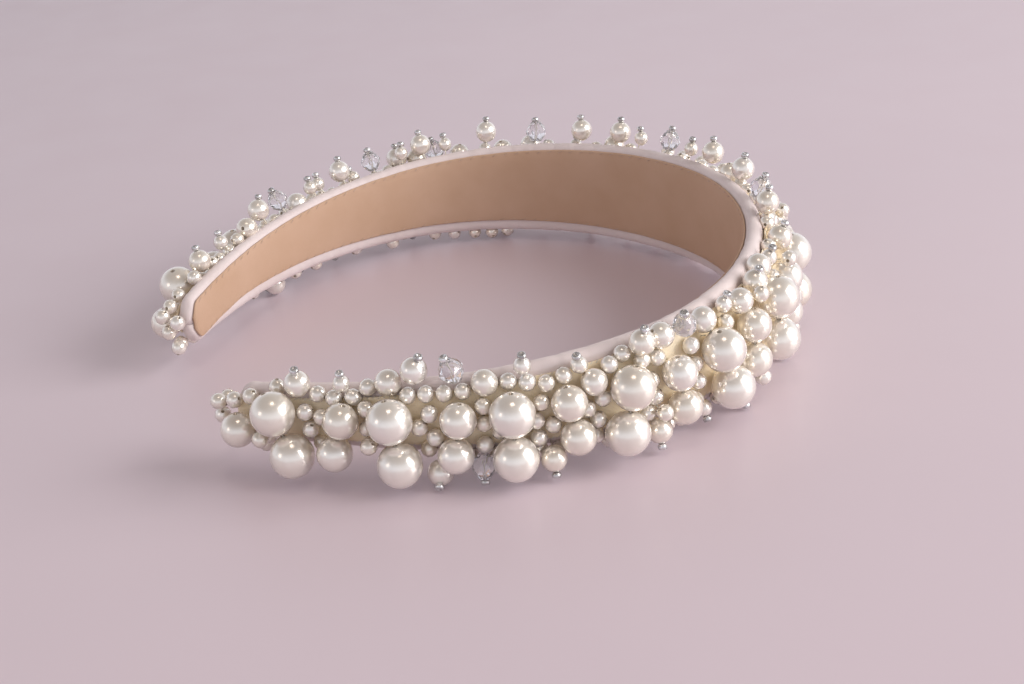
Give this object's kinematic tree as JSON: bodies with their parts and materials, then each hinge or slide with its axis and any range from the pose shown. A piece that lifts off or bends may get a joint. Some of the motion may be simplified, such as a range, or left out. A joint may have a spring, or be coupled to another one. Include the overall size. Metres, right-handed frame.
{
  "type": "padded headband",
  "caption": "Padded, C-shaped hair band covered in satin, with pearls sewn across its outer face and picots along its edges.",
  "frame": {"origin": "middle of the box around the headband, on the surface that it lies on", "axes": "+Z along the band's width, up from the edge that it lies on; +Y from the tips to the crown; +X across the head, from its left to its right"},
  "size_m": [0.1672, 0.157, 0.0374],
  "materials": {
    "ivory_pearl": "pearlescent, glossy over a soft cream body",
    "clear_crystal": "clear cut glass, also the silver-lined stop beads",
    "blush_satin": "satin weave, soft sheen",
    "nude_lining": "matt ribbed lining",
    "cream_panel": "matt woven backing with a bound edge",
    "hoop_plastic": "moulded, satin",
    "white_foam": "open-cell foam"
  },
  "bodies": {
    "root": {"arm_picot_left": "ivory_pearl", "arm_picot_right": "ivory_pearl", "bead_panel": "cream_panel", "crown_picot_left": "ivory_pearl", "crown_picot_right": "ivory_pearl", "crystal_picot_left": "clear_crystal", "crystal_picot_right": "clear_crystal", "foam_pad": "white_foam", "hoop_core": "hoop_plastic", "inner_lining": "nude_lining", "pearl_10mm_lower_01": "ivory_pearl", "pearl_10mm_lower_03": "ivory_pearl", "pearl_10mm_lower_05": "ivory_pearl", "pearl_10mm_lower_07": "ivory_pearl", "pearl_10mm_lower_09": "ivory_pearl", "pearl_10mm_lower_11": "ivory_pearl", "pearl_10mm_lower_13": "ivory_pearl", "pearl_10mm_lower_15": "ivory_pearl", "pearl_10mm_lower_17": "ivory_pearl", "pearl_10mm_lower_19": "ivory_pearl", "pearl_10mm_lower_21": "ivory_pearl", "pearl_10mm_lower_23": "ivory_pearl", "pearl_10mm_lower_25": "ivory_pearl", "pearl_10mm_lower_27": "ivory_pearl", "pearl_10mm_lower_29": "ivory_pearl", "pearl_10mm_lower_31": "ivory_pearl", "pearl_10mm_upper_01": "ivory_pearl", "pearl_10mm_upper_03": "ivory_pearl", "pearl_10mm_upper_05": "ivory_pearl", "pearl_10mm_upper_07": "ivory_pearl", "pearl_10mm_upper_09": "ivory_pearl", "pearl_10mm_upper_11": "ivory_pearl", "pearl_10mm_upper_13": "ivory_pearl", "pearl_10mm_upper_15": "ivory_pearl", "pearl_10mm_upper_17": "ivory_pearl", "pearl_10mm_upper_19": "ivory_pearl", "pearl_10mm_upper_21": "ivory_pearl", "pearl_10mm_upper_23": "ivory_pearl", "pearl_10mm_upper_25": "ivory_pearl", "pearl_10mm_upper_27": "ivory_pearl", "pearl_10mm_upper_29": "ivory_pearl", "pearl_10mm_upper_31": "ivory_pearl", "pearl_8mm_pair_02": "ivory_pearl", "pearl_8mm_pair_04": "ivory_pearl", "pearl_8mm_pair_06": "ivory_pearl", "pearl_8mm_pair_08": "ivory_pearl", "pearl_8mm_pair_10": "ivory_pearl", "pearl_8mm_pair_12": "ivory_pearl", "pearl_8mm_pair_14": "ivory_pearl", "pearl_8mm_pair_16": "ivory_pearl", "pearl_8mm_pair_18": "ivory_pearl", "pearl_8mm_pair_20": "ivory_pearl", "pearl_8mm_pair_22": "ivory_pearl", "pearl_8mm_pair_24": "ivory_pearl", "pearl_8mm_pair_26": "ivory_pearl", "pearl_8mm_pair_28": "ivory_pearl", "pearl_8mm_pair_30": "ivory_pearl", "satin_cover": "blush_satin", "tip_pearl_8mm_left": "ivory_pearl", "tip_pearl_8mm_right": "ivory_pearl"}
  },
  "joints": []
}
